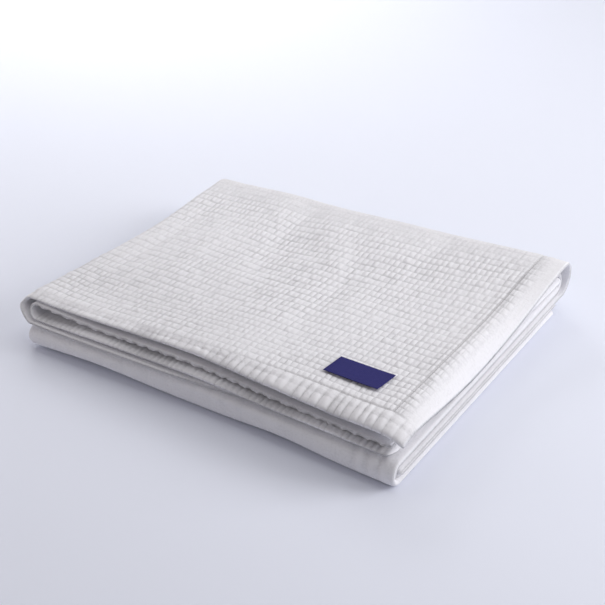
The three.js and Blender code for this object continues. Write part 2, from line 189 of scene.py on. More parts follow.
def topHeight(y):
    travel = (y - front) / (backTurnY - front)
    openness = 1 - (1 - fold["backOpenness"]) * smooth(travel, -0.35, 1.05)
    return blend(backCentre, fold["openHeight"], openness), openness


def alongAt(v):
    keys = ("y", "z", "ny", "nz", "openness", "clear", "tucked")
    found = {key: np.zeros(v.shape) for key in keys + ("isTop",)}
    backZ, backOpen = topHeight(np.float64(backTurnY))
    for span, here, share in spansAt(alongSpans, v):
        panel, angle, flat = span["panel"], np.pi * share, 0 * share
        if panel == "top":
            y = front + share * span["length"]
            z, openness = topHeight(y)
            values = (y, z, flat, flat + 1, openness, smooth(y, 0.1 * backTurnY, backTurnY), flat)
        elif panel == "backTurn":
            radius = (backZ - middleCentre) / 2
            y = backTurnY + radius * np.sin(angle)
            z = (backZ + middleCentre) / 2 + radius * np.cos(angle)
            values = (y, z, np.sin(angle), np.cos(angle), backOpen * (1 - share), flat + 1, share)
        elif panel == "middle":
            y = backTurnY - share * span["length"]
            values = (y, flat + middleCentre, flat, flat - 1, flat, flat + 1, flat + 1)
        elif panel == "frontTurn":
            radius = (middleCentre - bottomCentre) / 2
            y = frontTurnY - radius * np.sin(angle)
            z = (middleCentre + bottomCentre) / 2 + radius * np.cos(angle)
            values = (y, z, np.sin(angle), -np.cos(angle), flat, flat + 1, flat + 1)
        else:
            y = frontTurnY + share * span["length"]
            values = (y, flat + bottomCentre, flat, flat + 1, flat, flat + 1, flat + 1)
        for key, value in zip(keys, values):
            found[key][here] = value
        found["isTop"][here] = panel == "top"
    return found


def settle(x, y, z):
    travel = (y - front) / fold["depth"]
    leftness = (rightEdge - x) / fold["width"]
    rise = sum(up * np.exp(-((x - cx) / ax) ** 2 - ((y - cy) / ay) ** 2)
               for cx, cy, ax, ay, up in undulations)
    taper = fold["leftTaper"] * smooth(travel, -0.15, 0.7)
    inset = fold["lowerInset"] * (1 - smooth(z, middleCentre, fold["openHeight"]))
    press = fold["leftPress"] * smooth(leftness, 0.5, 1) * (1 - smooth(travel, 0, 0.7))
    turned = 1 - smooth(y, front, frontTurnY + 2 * turnReach)
    drawn = turned * np.exp(-((x - fold["drawAt"]) / fold["drawReach"]) ** 2)
    low = np.maximum(0, 1 - z / (2 * turnReach))
    newX = x + (taper + inset) * leftness ** 2
    skewed = fold["backLeftSkew"] * leftness * smooth(travel, 0, 1)
    newY = y + fold["turnDraw"] * drawn * smooth(low, 0, 0.4) - skewed
    lift = turned * low * sum(up * np.exp(-((x - cx) / reach) ** 2) for cx, reach, up in frontLifts)
    newZ = z * (1 - press) + rise * (z / fold["topHeight"]) ** 2 + lift
    return np.stack([newX - fold["centre"][0], newY - fold["centre"][1], newZ], -1) * mm


# Points of the cloth; side is 1 on its face and -1 on its inner side, and relief goes out from there
def clothPoints(u, v, side, relief, edge):
    along = alongAt(v)
    across = acrossAt(u, along["openness"])
    past = np.maximum.reduce([-u, u - wholeWidth, -v, v - wholeLength, 0 * u]) / edge
    rounded = np.sqrt(np.maximum(0, 1 - past ** 2))
    thickness = fold["cloth"] + across["extra"] * (1 - smooth(v, fold["hem"] / 2, fold["hem"]))
    lift = side * rounded * thickness / 2 + relief
    reach = across["h"] + across["nh"] * lift
    shift = across["shift"] * np.where(across["isFace"] > 0, along["tucked"], along["clear"])
    x = across["x"] + across["nx"] * lift + shift
    y = along["y"] + along["ny"] * reach
    z = along["z"] + along["nz"] * reach
    nearHem = np.maximum(0, 1 - v / fold["hem"])
    rollIn = blend(0.3, 1, smooth(v, -10, 150))
    rollOut = 1 - smooth(along["y"], -0.2 * backTurnY, backTurnY)
    roll = along["isTop"] * rollIn * rollOut * across["nearRight"]
    tilt = np.arctan(2 * fold["rightRoll"] * roll / fold["rollWidth"])
    x = x + lift * np.sin(tilt) - fold["rollIn"] * roll * across["nearRight"]
    y = y + along["isTop"] * across["setBack"] * (1 - smooth(v, 0, fold["hemReach"]))
    z = z - lift * (1 - np.cos(tilt)) - fold["rightRoll"] * roll * across["nearRight"]
    z = z - along["isTop"] * across["droop"] * nearHem ** 2
    return settle(x, y, z)


def gridFaces(index):
    corners = (index[:-1, :-1], index[:-1, 1:], index[1:, 1:], index[1:, :-1])
    return np.stack(corners, -1).reshape(-1, 4)


# Closed mesh under construction; a line of it is a list of (index, distance along it)
class SheetMesh:
    def __init__(self):
        self.points, self.quads, self.triangles, self.count = [], [], [], 0

    def add(self, u, v, side, relief, plain):
        columns = [np.array(a, float) for a in np.broadcast_arrays(u, v, side, relief, plain)]
        index = np.arange(self.count, self.count + columns[0].size).reshape(columns[0].shape)
        self.points.append(np.stack([a.ravel() for a in columns]))
        self.count += columns[0].size
        return index

    def grid(self, index):  # across by along, seen from the face
        self.quads.append(gridFaces(index))

    def bridge(self, left, right):  # strip between two lines that may be spaced differently
        i, j = 0, 0
        while i < len(left) - 1 or j < len(right) - 1:
            leftMiddle = left[i][1] + left[i + 1][1] if i < len(left) - 1 else math.inf
            rightMiddle = right[j][1] + right[j + 1][1] if j < len(right) - 1 else math.inf
            if leftMiddle <= rightMiddle:
                self.triangles.append((left[i][0], left[i + 1][0], right[j][0]))
                i += 1
            else:
                self.triangles.append((left[i][0], right[j + 1][0], right[j][0]))
                j += 1


def line(index, at):
    return list(zip(np.asarray(index).tolist(), np.asarray(at, float).tolist()))


# Woven face: flat pads in rows, parted by thin row grooves and by ticks of uneven depth; the cotton finish
# paints shade into the grooves, ticks and seams from this relief
weave = {
    "rowPitch": 10.2, "cellPitch": 6.2, "rows": 35, "cells": 75, "rise": 1.0, "uneven": 0.2,
    "tickDepth": (0.5, 1.08), "rowKeep": 0.4, "tickStray": 0.6, "slant": 0.5, "rowWave": 0.6,
    "rowParts": (0, 0.1, 0.22, 0.78, 0.9), "rowShape": (0, 0.66, 1, 1, 0.66),
    "tickShape": (0.3, 0.7, 1, 1, 0.7),
    "cellParts": (0, 0.17, 0.5, 0.83), "cellShape": (1, 0.14, 0, 0.14),
    "smoothFrom": 8, "smoothTo": 22, "backFrom": 285, "backTo": 330, "backKeep": 0.35,
    "straightCells": 6, "seams": (26.04, 21.7), "seamReach": 1.2, "stitchSink": 0.7, "seed": 11,
}
# creases of the top: from x, y to x, y, half width, rise
creases = [
    (-75, 150, -52, 20, 22, -2.0), (32, 70, 47, -50, 14, -1.4), (-30, 120, 10, 60, 18, 1.3),
    (182, 90, 180, -80, 10, -1.0), (-140, 60, -128, -40, 14, 1.2), (96, 150, 90, 90, 14, -1.3),
]


def creaseRise(u, v):
    x, y = rightEdge - u, front + v
    total = np.zeros(np.shape(u))
    for x0, y0, x1, y1, reach, rise in creases:
        runX, runY = x1 - x0, y1 - y0
        along = np.clip(((x - x0) * runX + (y - y0) * runY) / (runX ** 2 + runY ** 2), 0, 1)
        away = np.hypot(x - blend(x0, x1, along), y - blend(y0, y1, along))
        total += rise * np.exp(-(away / reach) ** 2)
    return total * (v < alongSpans[1]["start"])


def wovenFace(sheet):
    random = np.random.default_rng(weave["seed"])
    rows, cells = weave["rows"], weave["cells"]
    stray = random.uniform(-1, 1, (rows + 1, cells + 1)) * weave["tickStray"]
    stray[:, :weave["straightCells"]] = 0  # along the right hem
    stray[:, -1] = 0
    puff = 1 + weave["uneven"] * random.standard_normal((rows + 1, cells + 1)).clip(-2, 2)
    depth = blend(*weave["tickDepth"], random.uniform(0, 1, (rows + 1, cells + 1)))
    keep = weave["rowKeep"] * random.uniform(0, 1, (rows + 1, cells + 1))
    rowPart, cellPart = np.array(weave["rowParts"]), np.array(weave["cellParts"])
    r = np.append(np.repeat(np.arange(rows), len(rowPart)), rows)
    f = np.append(np.tile(rowPart, rows), 0)
    c = np.append(np.repeat(np.arange(cells), len(cellPart)), cells)
    g = np.append(np.tile(cellPart, cells), 0)
    below = np.maximum(r - 1, 0)
    rowStray = np.where(f[:, None] == 0, (stray[below] + stray[r]) / 2, stray[r])
    nextCell = np.minimum(c + 1, cells)
    slant = np.where(f == 0, 0, f - 0.5)[:, None] * weave["slant"]
    slant = slant * smooth(c, 5, 9) * smooth(cells - c, 0, 3)
    shift = (blend(rowStray[:, c], rowStray[:, nextCell], g) + slant).T
    u = (c + g)[:, None] * weave["cellPitch"] + shift
    wave = np.sin(u / 23 + 0.55 * r) + 0.7 * np.sin(u / 9.3 + 1.7 * r)
    start, end = hemShown(u), fold["hem"] + rows * weave["rowPitch"]
    wave = weave["rowWave"] * wave * smooth(r, 0, 2) * smooth(rows - r, 0, 2)
    v = blend(start, end, (r + f) / rows) + wave
    rowShape = np.append(np.tile(weave["rowShape"], rows), 0)
    cellShape = np.append(np.tile(weave["cellShape"], cells), 1)
    ticks = np.where((g < 0.6)[:, None], depth[r][:, c].T, depth[r][:, nextCell].T)
    ticks = ticks * np.append(np.tile(weave["tickShape"], rows), 0)
    worn = 0.9 + 0.15 * np.sin(u / 61 + 1.3) * np.sin(v / 47 + 0.4)
    worn = worn + 0.1 * np.sin(u / 23 + 2) * np.sin(v / 31)
    ground = np.where(f == 0, keep[r][:, c].T, rowShape[None, :])
    amount = smooth(u, weave["smoothFrom"], weave["smoothTo"])
    amount = amount * blend(1, weave["backKeep"], smooth(v, weave["backFrom"], weave["backTo"]))
    pad = 1 - worn * (1 - ground * (1 - cellShape[:, None] * ticks) * puff[r][:, c].T)
    inner, outer = (np.exp(-((u - at) / weave["seamReach"]) ** 2) for at in weave["seams"])
    seams = inner + 0.6 * outer
    height = weave["rise"] * pad * amount * (1 - 0.8 * seams) - weave["stitchSink"] * seams
    hemLine = blend(0.5 * weave["rise"], -0.1 * weave["stitchSink"],
                    smooth(rightEdge - u, -20, 140))
    height = np.where((r == 0) & (f == 0), hemLine, height)
    # plain is 1 - amount: where the weave is full, its relief alone sets the painted shade in grooves,
    # ticks and seams
    index = sheet.add(u, v, 1, height, 1 - amount)
    sheet.grid(index)
    return index, u, v


# Front hem of the face: plump ribs that run over the edge; at the left it curls under and shows less. With
# plain at 0.6, part of their relief paints shade between the ribs
hemRibs = {
    "pitch": (9.75, 7.0), "uneven": 0.28, "rise": (1.3, 0.8), "plump": 0.4, "lean": 2.2,
    "edge": 1.9, "corner": 0.7, "plain": 0.6, "seed": 5,
    "parts": (0, 0.14, 0.5, 0.86), "shape": (-0.15, 0.7, 1, 0.7), "bumps": 0.35,
    "shown": (12, 26), "shares": (0.03, 0.12, 0.25, 0.4, 0.5, 0.6, 0.75, 0.9),
    "fullness": (0.75, 0.9, 1, 1, 0.95, 0.9, 0.9, 0.75, 0.45),
}


def hemShown(u):
    return blend(*hemRibs["shown"], smooth(rightEdge - u, -40, 120))


def ribbedHem(sheet, end):
    random = np.random.default_rng(hemRibs["seed"])
    edges = [0.0]
    while edges[-1] < end:
        uneven = 1 + hemRibs["uneven"] * random.uniform(-1, 1)
        edges.append(edges[-1] + blend(*hemRibs["pitch"], edges[-1] / end) * uneven)
    edges = np.array(edges) * end / edges[-1]
    parts = np.array(hemRibs["parts"])
    u = np.append((edges[:-1, None] + np.diff(edges)[:, None] * parts).ravel(), end)
    ribs = len(edges) - 1
    shape = np.append(np.tile(hemRibs["shape"], ribs), hemRibs["shape"][0])
    plump = np.append(np.repeat(1 + hemRibs["plump"] * random.uniform(-1, 1, ribs), len(parts)), 1)
    lean = np.append(np.repeat(hemRibs["lean"] * random.uniform(-1, 1, ribs), len(parts)), 0)
    lean = np.convolve(lean, np.ones(9) / 9, "same") * smooth(u, 0, 15) * smooth(end - u, 0, 15)
    rise = blend(*hemRibs["rise"], smooth(u, 0, 0.6 * end)) * shape * plump
    rise = rise * smooth(u, -2, 12)
    sag = 0.5 * np.sin(u / 17) + 0.4 * np.sin(u / 7.1 + 1)
    share = np.array((0,) + hemRibs["shares"])
    bumps = 1 + hemRibs["bumps"] * random.uniform(-1, 1, (len(u), len(share)))
    tiers = np.where(share < 0.5, 1, np.roll(plump, 9)[:, None] / plump[:, None])
    splitDepth = 0.6 + 0.3 * np.sin(u / 13) * np.sin(u / 41)
    split = np.exp(-((share - 0.5) / 0.09) ** 2) * splitDepth[:, None]
    relief = rise[:, None] * np.array(hemRibs["fullness"]) * bumps * tiers - split
    relief = relief + sag[:, None] * (1 - share)
    rimV = np.full(u.shape, -hemRibs["corner"] * hemRibs["edge"])
    v = np.column_stack([rimV, np.outer(hemShown(u), share[1:])])
    # painted shade between the ribs, from part of their relief
    index = sheet.add(u[:, None] + np.outer(lean, share), v, 1, relief, hemRibs["plain"])
    sheet.grid(index)
    return index, u, v, relief[:, 0]


# Forms of the other layers: ticks on the rim, ruffles on the second hem, pleats round the low turn; near
# the hems and in the gathers plain drops, so their hollows get painted shade
lower = {
    "hemReach": (4, 30), "hemShade": 0.36, "rimPitch": 6.1, "rimRise": 1.3,
    "tipGather": 0.3, "tipFrom": (120, 200), "ruffleRise": 0.78, "ruffleLength": 15 / 6.28,
    "pleatsFrom": (640, 700), "pleatsTo": (728, 750), "gatherFrom": (155, 175), "gatherShade": 0.144,
}
# pleats and gathers of the low front turn: x, half width, rise
pleats = [
    (-152, 9, 0.4), (-96, 6, -0.3), (-60, 5, -0.3), (-30, 7, 0.4), (10, 3.5, -0.5), (19, 5, 0.4),
    (48, 4, -0.5), (86, 9, 0.5), (111, 5, -0.3), (150, 7, 0.7), (168, 2.5, -0.8), (174, 3, 1.0),
    (180, 2.5, -1.0), (186, 3, 1.2), (192, 2.5, -1.1), (199, 4, 1.0),
]


def lowerRelief(u, v):
    relief, plain = np.zeros(u.shape), np.ones(u.shape)
    for span, here, share in spansAt(acrossSpans, u):
        if "turn" in span:
            continue
        at, hemward = u[here], 1 - smooth(v[here], *lower["hemReach"])
        x = blend(span["fromX"], span["toX"], share)
        if span["leg"] == "rim":
            ticks = np.abs(np.sin(np.pi * at / lower["rimPitch"] + 0.8 * np.sin(at / 31))) ** 0.7 - 0.6
            uneven = 0.75 + 0.35 * np.sin(at / 5.3) * np.sin(at / 13 + 1)
            tip = 1 + lower["tipGather"] * smooth(x, *lower["tipFrom"])
            rise = lower["rimRise"] * ticks * tip * uneven
            relief[here] = hemward * (rise + 0.7 * np.sin(at / 21))
            # painted shade in the tick hollows near the rim's hem
            plain[here] = 1 - lower["hemShade"] * hemward
        elif span["leg"] == "second":
            ruffle = np.sin(at / lower["ruffleLength"] + 1.3 * np.sin(at / 19))
            relief[here] = hemward * lower["ruffleRise"] * (ruffle + 0.6 * np.sin(at / 1.05))
            # painted shade in the ruffle hollows near the second hem
            plain[here] = 1 - lower["hemShade"] * hemward
        elif span["leg"] == "back":
            turned = smooth(v[here], *lower["pleatsFrom"]) * (1 - smooth(v[here], *lower["pleatsTo"]))
            fall = sum(rise * np.exp(-((x - at0) / reach) ** 2) for at0, reach, rise in pleats)
            relief[here] = turned * (fall + 0.3 * np.sin(x / 3.4 + 2 * np.sin(x / 29)))
            # painted shade in the hollows of the gathers at the right of the low turn
            plain[here] = 1 - lower["gatherShade"] * turned * smooth(x, *lower["gatherFrom"])
    return relief, plain


# how finely the cloth is cut: steps on each stretch of the outer side and of the inner side,
# and places along the sheet near the front hem and on the top panel
cut = {
    "face": 16, "outerLeft": 10, "back": 106, "gathers": 40, "gatherWidth": 55, "right": 6,
    "rim": 290, "innerLeft": 14, "second": 150, "inner": (24, 12, 24, 6, 24, 12, 24),
    "hemPlaces": (0.5, 2.4, 5.5, 10, 16, 26), "topPlaces": (36, 50, 75, 110, 160, 220, 280),
    "backTurn": 10, "middle": 6, "frontTurn": 18, "bottom": 6,
}


def steps(start, end, count):
    return np.linspace(start, end, count + 1)[1:]


def buildBlanket():
    sheet = SheetMesh()
    edge = hemRibs["edge"]
    corner = hemRibs["corner"] * edge
    patchEnd = weave["cells"] * weave["cellPitch"]
    spanEnds = [span["start"] + span["length"] for span in acrossSpans]
    panelEnds = [span["start"] + span["length"] for span in alongSpans]
    faceU = np.append(0, steps(0, spanEnds[0], cut["face"]))
    faceU = np.append(faceU, steps(spanEnds[0], patchEnd, cut["outerLeft"])[:-1])
    gatherU = spanEnds[2] - cut["gatherWidth"]
    restU = np.concatenate([
        [patchEnd + 2], steps(patchEnd + 2, gatherU, cut["back"]),
        steps(gatherU, spanEnds[2], cut["gathers"]), steps(spanEnds[2], spanEnds[3], cut["right"]),
        steps(spanEnds[3], spanEnds[4], cut["rim"]), steps(spanEnds[4], spanEnds[5], cut["innerLeft"]),
        steps(spanEnds[5], spanEnds[6], cut["second"]),
    ])
    frontV = np.append(-corner, cut["hemPlaces"])
    topV = np.concatenate([frontV, cut["topPlaces"], [panelEnds[0]],
                           steps(panelEnds[0], panelEnds[1], cut["backTurn"])[:-1]])
    lowV = np.concatenate([
        [panelEnds[1]], steps(panelEnds[1], panelEnds[2], cut["middle"]),
        steps(panelEnds[2], panelEnds[3], cut["frontTurn"]),
        steps(panelEnds[3], panelEnds[4], cut["bottom"]),
    ])
    allV = np.append(topV, lowV)

    woven, wovenU, wovenV = wovenFace(sheet)
    hem, hemU, hemV, hemEdge = ribbedHem(sheet, patchEnd)
    sheet.bridge(line(woven[:, 0], wovenU[:, 0]), line(hem[:, -1], hemU))
    restGrid = np.meshgrid(restU, allV, indexing="ij")
    rest = sheet.add(*restGrid, 1, *lowerRelief(*restGrid))
    sheet.grid(rest)
    tail = sheet.add(*np.meshgrid(faceU, lowV, indexing="ij"), 1, 0, 1)
    tailToRest = np.concatenate([tail, rest[:1, len(topV):]])
    sheet.grid(tailToRest)
    left = line(hem[-1], hemV[-1]) + line(woven[-1], wovenV[-1])
    sheet.bridge(left, line(rest[0, :len(topV) + 1], allV[:len(topV) + 1]))
    sheet.bridge(line(tailToRest[:, 0], np.append(faceU, restU[0])), line(woven[:, -1], wovenU[:, -1]))

    # the inner side, coarser
    starts = [span["start"] for span in acrossSpans]
    underU = np.concatenate([[0], *map(steps, starts, spanEnds, cut["inner"])])
    underV = np.append(frontV[1::2], allV[len(frontV):])
    under = sheet.add(*np.meshgrid(underU, underV, indexing="ij"), -1, 0, 1)
    sheet.grid(under[::-1])

    # rounded edges: a ring past the border closes the two sides. The rings carry plain 0, so the cotton
    # finish paints them towards the painted shade colour: painted shade along the cloth's edges
    frontU = np.append(hemU, restU)
    ringU = np.concatenate([[-corner], frontU[1:-1], [wholeWidth + corner]])
    ringV = np.full(ringU.shape, -edge)
    ringV[[0, -1]] = -corner
    edgeRelief = np.concatenate([hemEdge, lowerRelief(restU, 0 * restU)[0]])
    frontRing = sheet.add(ringU, ringV, 0, 0.5 * edgeRelief, 0)
    rightV = np.concatenate([hemV[0], wovenV[0], lowV])
    rightFace = np.concatenate([hem[0], woven[0], tail[0]])
    sideRing = sheet.add(-edge, rightV[1:-1], 0, 0, 0)
    endCorner = sheet.add([-corner, wholeWidth + corner], wholeLength + corner, 0, 0, 0)
    endU = np.append(faceU, restU)
    endRing = sheet.add(endU[1:-1], wholeLength + edge, 0, 0, 0)
    secondRing = sheet.add(wholeWidth + edge, allV[1:-1], 0, 0, 0)
    frontLine = line(frontRing, ringU)
    rightLine = [frontLine[0]] + line(sideRing, rightV[1:-1]) + line(endCorner[:1], [wholeLength])
    endLine = line(endCorner[:1], [0]) + line(endRing, endU[1:-1]) + line(endCorner[1:], [wholeWidth])
    secondLine = [(frontLine[-1][0], 0)] + line(secondRing, allV[1:-1])
    secondLine += line(endCorner[1:], [wholeLength])
    sheet.bridge(line(np.append(hem[:, 0], rest[:, 0]), frontU), frontLine)
    sheet.bridge(frontLine, line(under[:, 0], underU))
    sheet.bridge(rightLine, line(rightFace, rightV))
    sheet.bridge(line(under[0], underV), rightLine)
    sheet.bridge(endLine, line(np.append(tail[:, -1], rest[:, -1]), endU))
    sheet.bridge(line(under[:, -1], underU), endLine)
    sheet.bridge(line(rest[-1], allV), secondLine)
    sheet.bridge(secondLine, line(under[-1], underV))

    u, v, side, relief, plain = np.concatenate(sheet.points, axis=1)
    mesh = bpy.data.meshes.new("blanketCloth")
    faces = np.concatenate(sheet.quads).tolist() + sheet.triangles
    points = clothPoints(u, v, side, relief + creaseRise(u, v), edge)
    mesh.from_pydata(points.tolist(), [], faces)
    mesh.shade_smooth()
    corners = np.empty(len(mesh.loops), int)
    mesh.loops.foreach_get("vertex_index", corners)
    uv = mesh.uv_layers.new(name="cloth")
    flat = np.stack([u, v], -1)[corners] * mm
    uv.data.foreach_set("uv", flat.ravel().astype(np.float32))
    # relief and plain go to the cotton finish: it paints shade into the hollows of the relief where plain
    # is below 1
    for name, values in (("relief", relief / weave["rise"]), ("plain", plain)):
        attribute = mesh.attributes.new(name, "FLOAT", "POINT")
        attribute.data.foreach_set("value", values.astype(np.float32))
    piece = bpy.data.objects.new("blanketCloth", mesh)
    scene.collection.objects.link(piece)
    print("blanket", len(mesh.vertices), "points", len(faces), "faces")
    return piece


# Label: a thin bare strip inside the front right corner; its front edge stands up, most at the right
labelSizes = {
    "width": 59, "depth": 35.5, "flatDepth": 30, "x": 137.5, "y": -111, "skew": 2,
    "thickness": 0.7, "lift": 2.9, "raised": (1.6, 0.56), "round": 0.5, "cells": (39, 17),
}


def labelPoints(across, along, height):
    u = rightEdge - labelSizes["x"] + (across - 0.5) * labelSizes["width"]
    v = labelSizes["y"] - front + (along - 0.5) * labelSizes["depth"]
    raised = blend(*labelSizes["raised"], across) * (1 - along) ** 2
    u = u - labelSizes["skew"] * along
    return clothPoints(u, v, 0, labelSizes["lift"] + raised + height, hemRibs["edge"])


def buildLabel():
    shares = []
    for size, count in zip((labelSizes["width"], labelSizes["depth"]), labelSizes["cells"]):
        inset = labelSizes["round"] / size
        shares.append(np.concatenate([[0], np.linspace(inset, 1 - inset, count + 1), [1]]))
    across, along = np.meshgrid(*shares, indexing="ij")
    rim = (across == 0) | (across == 1) | (along == 0) | (along == 1)
    half = labelSizes["thickness"] / 2
    upper = np.where(rim, half, 2 * half)
    lowerSide = np.where(rim, half, 0)
    count = across.size
    top = np.arange(count).reshape(across.shape)
    bottom = np.where(rim, top, top + count)
    points = np.concatenate([
        labelPoints(across.ravel(), along.ravel(), upper.ravel()),
        labelPoints(across.ravel(), along.ravel(), lowerSide.ravel()),
    ])
    faces = np.concatenate([gridFaces(top), gridFaces(bottom)[:, ::-1]])
    used, faces = np.unique(faces, return_inverse=True)
    faces = faces.reshape(-1, 4)
    mesh = bpy.data.meshes.new("labelStrip")
    mesh.from_pydata(points[used].tolist(), [], faces.tolist())
    mesh.shade_smooth()
    uv = mesh.uv_layers.new(name="cloth")
    flat = (across.ravel() * labelSizes["width"], along.ravel() * labelSizes["flatDepth"])
    flat = np.tile(np.stack(flat, -1), (2, 1))[used] * mm
    uv.data.foreach_set("uv", flat[faces.ravel()].ravel().astype(np.float32))
    piece = bpy.data.objects.new("labelStrip", mesh)
    scene.collection.objects.link(piece)
    print("label", len(mesh.polygons), "faces")
    return piece


# Nodes: a socket is given a constant or a link
def fill(tree, slot, value):
    if isinstance(value, NodeValue):
        value = value.socket
    if isinstance(value, bpy.types.NodeSocket):
        tree.links.new(value, slot)
    else:
        slot.default_value = value


# any node but Math: its settings first, then its sockets by name; gives back its outputs
def addNode(tree, kind, settings, **sockets):
    node = tree.nodes.new(kind)
    for key, value in settings.items():
        setattr(node, key, value)
    for key, value in sockets.items():
        name = key.replace("_", " ")
        fill(tree, next(slot for slot in node.inputs if slot.enabled and slot.name == name), value)
    return node.outputs


# a shader value; arithmetic on it adds Math nodes
class NodeValue:
    def __init__(self, tree, socket):
        self.tree, self.socket = tree, socket

    def join(self, operation, first, second):
        node = self.tree.nodes.new("ShaderNodeMath")
        node.operation = operation
        for slot, value in zip(node.inputs, (first, second)):
            fill(self.tree, slot, value)
        return NodeValue(self.tree, node.outputs[0])

    def __add__(self, other):
        return self.join("ADD", self, other)

    def __radd__(self, other):
        return self.join("ADD", other, self)

    def __sub__(self, other):
        return self.join("SUBTRACT", self, other)

    def __rsub__(self, other):
        return self.join("SUBTRACT", other, self)

    def __mul__(self, other):
        return self.join("MULTIPLY", self, other)

    def __rmul__(self, other):
        return self.join("MULTIPLY", other, self)

    def __pow__(self, other):
        return self.join("POWER", self, other)

    def __rpow__(self, other):
        return self.join("POWER", other, self)

    def wave(self, length):  # sine of this value in metres, from -1 to 1
        return self.join("SINE", self * (2 * math.pi / length), 0)

    def size(self):
        return self.join("ABSOLUTE", self, 0)

    def limited(self):
        return NodeValue(self.tree, addNode(self.tree, "ShaderNodeClamp", {}, Value=self)["Result"])


# Stitches: short threads set along the seams
stitches = {
    "pitch": 3.2, "length": 2.5, "thread": 0.6, "stray": 0.1, "sides": 6, "rings": 5, "seed": 3,
    "frontSeam": (30, 424), "sideSeam": (2, 328), "sideSinks": (0.45, 0.25),
    "labelSeam": (0.1, 0.92), "labelInset": 0.035,
}


def stitchNodes():
    tree = bpy.data.node_groups.new("seamStitches", "GeometryNodeTree")
    kinds = {"Geometry": "Geometry", "Pitch": "Float", "Length": "Float", "Thread": "Float",
             "Stray": "Float", "Seed": "Int", "Material": "Material"}
    slots = {}
    for name, kind in kinds.items():
        socket = tree.interface.new_socket(name, in_out="INPUT", socket_type="NodeSocket" + kind)
        slots[name] = socket.identifier
    tree.interface.new_socket("Geometry", in_out="OUTPUT", socket_type="NodeSocketGeometry")
    given = tree.nodes.new("NodeGroupInput").outputs
    result = tree.nodes.new("NodeGroupOutput")

    def node(kind, settings, **sockets):
        return addNode(tree, kind, settings, **sockets)

    path = node("GeometryNodeMeshToCurve", {}, Mesh=given["Geometry"])
    points = node("GeometryNodeCurveToPoints", {"mode": "LENGTH"}, Curve=path[0], Length=given["Pitch"])
    ball = node("GeometryNodeMeshUVSphere", {}, Segments=stitches["sides"], Rings=stitches["rings"],
                Radius=0.5)
    size = node("ShaderNodeCombineXYZ", {}, X=given["Thread"], Y=given["Thread"], Z=given["Length"])
    thread = node("GeometryNodeTransform", {}, Geometry=ball[0], Scale=size[0])
    laid = node("GeometryNodeInstanceOnPoints", {}, Points=points["Points"], Instance=thread[0],
                Rotation=points["Rotation"])
    low = node("ShaderNodeVectorMath", {"operation": "SCALE"}, Vector=(-1, -1, -1), Scale=given["Stray"])
    high = node("ShaderNodeVectorMath", {"operation": "SCALE"}, Vector=(1, 1, 1), Scale=given["Stray"])
    turn = node("FunctionNodeRandomValue", {"data_type": "FLOAT_VECTOR"}, Min=low[0], Max=high[0],
                Seed=given["Seed"])
    loose = node("GeometryNodeRotateInstances", {}, Instances=laid[0], Rotation=turn[0])
    solid = node("GeometryNodeRealizeInstances", {}, Geometry=loose[0])
    soft = node("GeometryNodeSetShadeSmooth", {}, Geometry=solid[0])
    done = node("GeometryNodeSetMaterial", {}, Geometry=soft[0], Material=given["Material"])
    tree.links.new(done[0], result.inputs[0])
    return tree, slots


def buildStitches(name, seams, material, tree, slots):
    edges, start = [], 0
    for seam in seams:
        edges += [(start + k, start + k + 1) for k in range(len(seam) - 1)]
        start += len(seam)
    mesh = bpy.data.meshes.new(name + "Path")
    mesh.from_pydata(np.concatenate(seams).tolist(), edges, [])
    piece = bpy.data.objects.new(name, mesh)
    scene.collection.objects.link(piece)
    modifier = piece.modifiers.new("stitches", "NODES")
    modifier.node_group = tree
    values = {"Pitch": stitches["pitch"] * mm, "Length": stitches["length"] * mm,
              "Thread": stitches["thread"] * mm, "Stray": stitches["stray"],
              "Seed": stitches["seed"], "Material": material}
    for key, value in values.items():
        modifier[slots[key]] = value
    graph = bpy.context.evaluated_depsgraph_get()
    finished = bpy.data.meshes.new_from_object(piece.evaluated_get(graph), depsgraph=graph)
    piece.modifiers.clear()
    piece.data = finished
    finished.name = name
    bpy.data.meshes.remove(mesh)
    print(name, len(finished.polygons), "faces")
    return piece


def clothSeams():
    edge = hemRibs["edge"]
    frontU = np.linspace(*stitches["frontSeam"], 260)
    frontV = hemShown(frontU)
    seams = [clothPoints(frontU, frontV, 1, creaseRise(frontU, frontV), edge)]
    sideV = np.linspace(*stitches["sideSeam"], 220)
    for at, sink in zip(weave["seams"], stitches["sideSinks"]):
        sideU = at + 0 * sideV
        seams.append(clothPoints(sideU, sideV, 1, -sink + creaseRise(sideU, sideV), edge))
    return seams


def labelSeams():
    along = np.linspace(*stitches["labelSeam"], 24)
    sides = (stitches["labelInset"], 1 - stitches["labelInset"])
    return [labelPoints(at + 0 * along, along, labelSizes["thickness"] + 0 * along) for at in sides]


